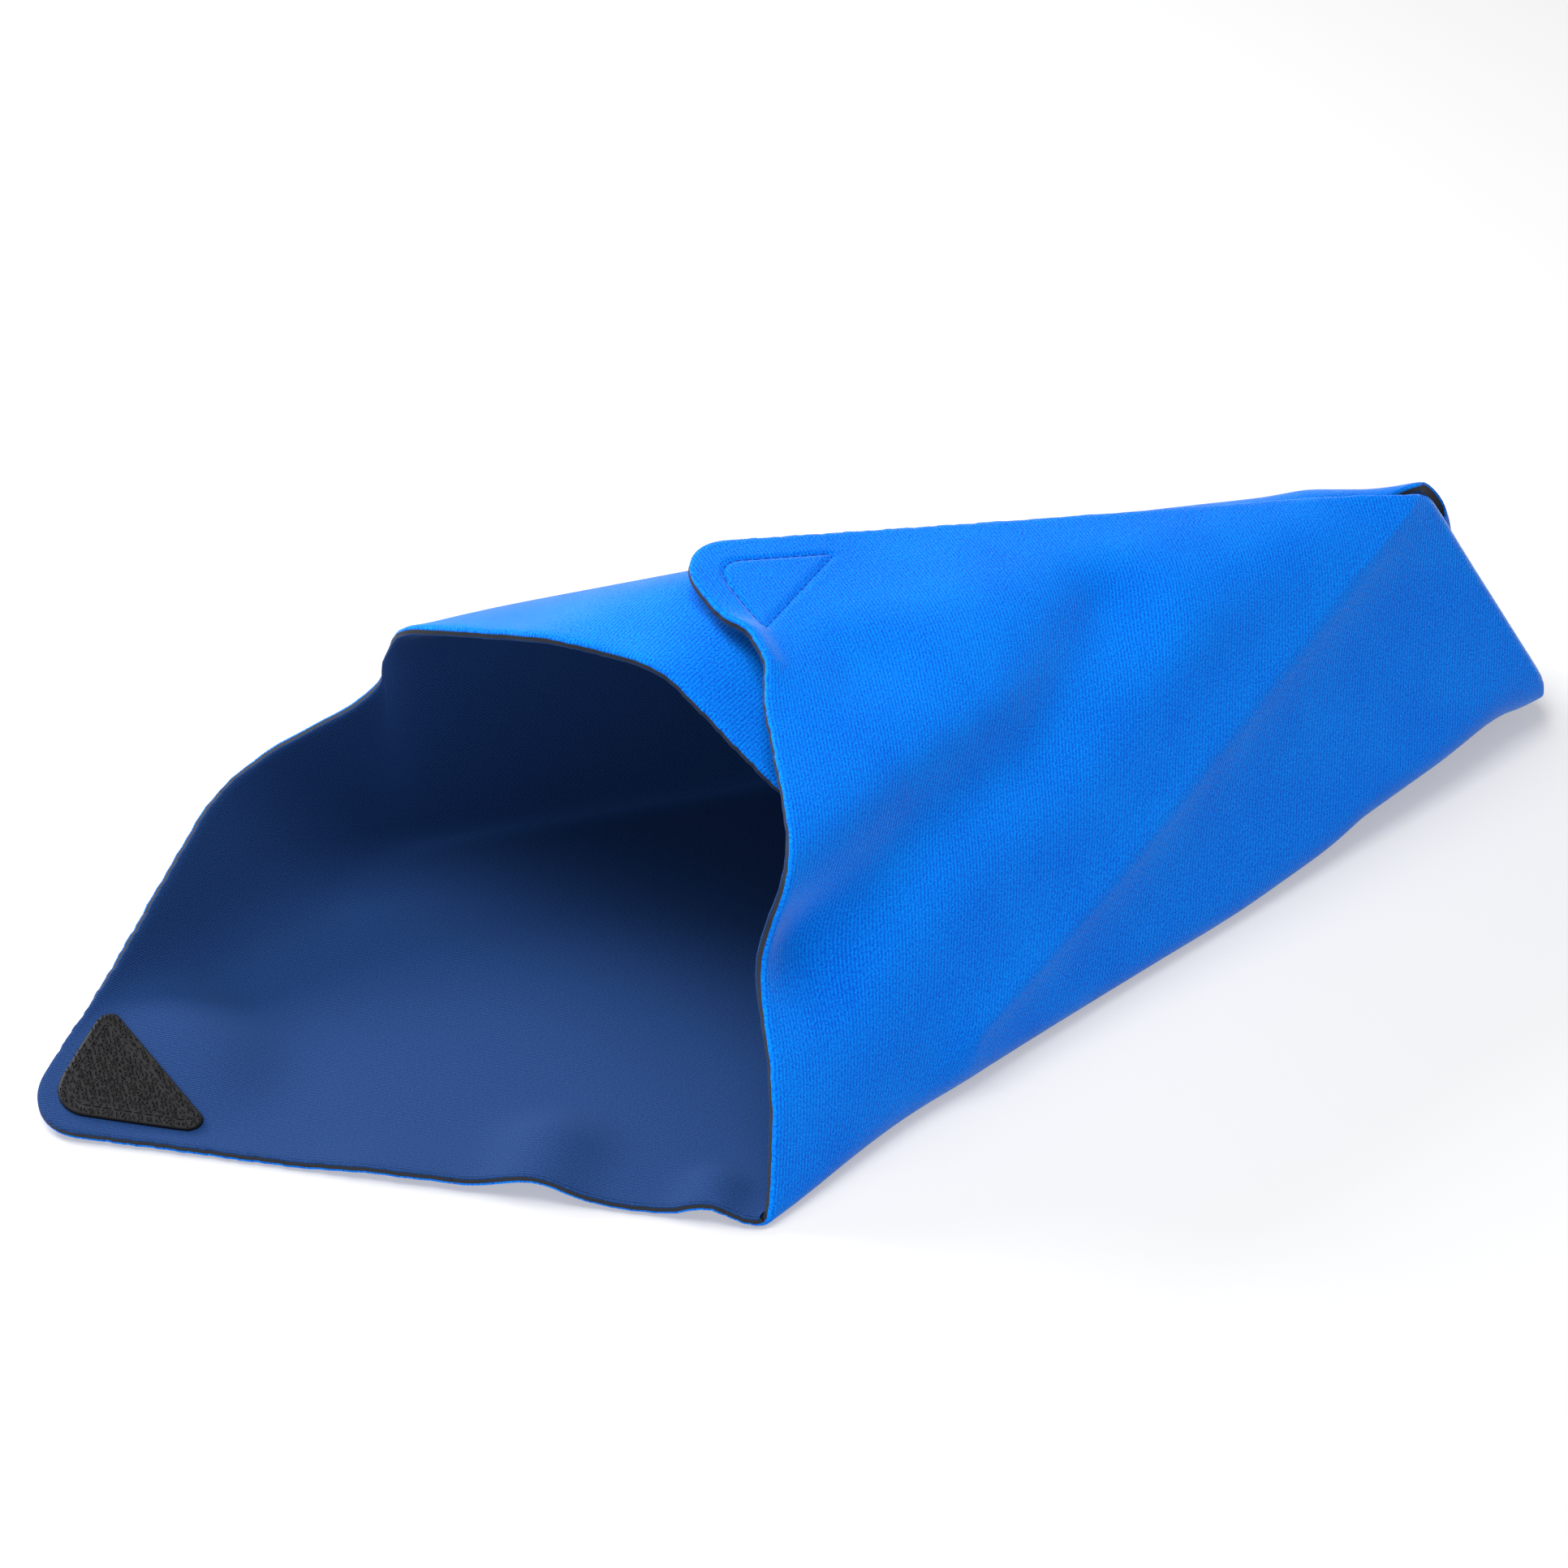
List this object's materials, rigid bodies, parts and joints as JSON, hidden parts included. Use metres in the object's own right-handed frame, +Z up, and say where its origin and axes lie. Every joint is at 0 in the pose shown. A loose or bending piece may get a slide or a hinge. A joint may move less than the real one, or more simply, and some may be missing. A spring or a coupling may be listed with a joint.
{
  "type": "camera wrap",
  "caption": "Square padded cloth folded into a pocket round a camera, with loop pile outside, jersey lining inside and hook patches on corners that fold over and hold.",
  "frame": {"origin": "on the table under the pocket, at the middle of the pocket's mouth", "axes": "+X along the pocket from the mouth to its narrow end, +Y to the back wall, +Z up off the table"},
  "size_m": [0.5803, 0.2496, 0.1478],
  "materials": {
    "pile": "brushed loop pile",
    "foam": "matte foam",
    "lining": "fine knit",
    "hook": "bristly hook tape"
  },
  "bodies": {
    "pocket": {"floor_pile": "pile", "floor_foam": "foam", "floor_lining": "lining", "front_gore_pile": "pile", "front_gore_foam": "foam", "front_gore_lining": "lining", "back_wall_pile": "pile", "back_wall_foam": "foam", "back_wall_lining": "lining", "rear_flap_pile": "pile", "rear_flap_foam": "foam", "rear_flap_lining": "lining", "back_gusset_pile": "pile", "back_gusset_foam": "foam", "back_gusset_lining": "lining"},
    "closing_base": {"closing_base_pile": "pile", "closing_base_foam": "foam", "closing_base_lining": "lining"},
    "closing_middle": {"closing_middle_pile": "pile", "closing_middle_foam": "foam", "closing_middle_lining": "lining"},
    "closing_tip": {"closing_tip_pile": "pile", "closing_tip_foam": "foam", "closing_tip_lining": "lining", "closing_hook_patch": "hook"},
    "front_flap": {"front_flap_pile": "pile", "front_flap_foam": "foam", "front_flap_lining": "lining", "front_hook_patch": "hook"}
  },
  "joints": [
    {"name": "closing_fold", "type": "hinge", "parent": "pocket", "child": "closing_base", "pos_m": [-0.0118, 0.0019, 0.005], "axis": [-0.074, 0.9973, 0], "range_deg": [0, 42], "deforming": ["back_gusset_pile", "back_gusset_foam", "back_gusset_lining"]},
    {"name": "closing_roll", "type": "hinge", "parent": "closing_base", "child": "closing_middle", "pos_m": [-0.0637, 0.01016, 0.005], "axis": [-0.074, 0.9973, 0], "range_deg": [0, 42]},
    {"name": "closing_tip_roll", "type": "hinge", "parent": "closing_middle", "child": "closing_tip", "pos_m": [-0.12957, 0.02063, 0.005], "axis": [-0.074, 0.9973, 0], "range_deg": [0, 66]},
    {"name": "front_flap_fold", "type": "hinge", "parent": "pocket", "child": "front_flap", "pos_m": [0.007, -0.1261, 0.0026], "axis": [0.8817, 0.3782, 0.2821], "range_deg": [0, 115]}
  ],
  "couplings": [
    {"joint": "closing_roll", "follows": "closing_fold", "ratio": 1},
    {"joint": "closing_tip_roll", "follows": "closing_fold", "ratio": 1.571}
  ]
}
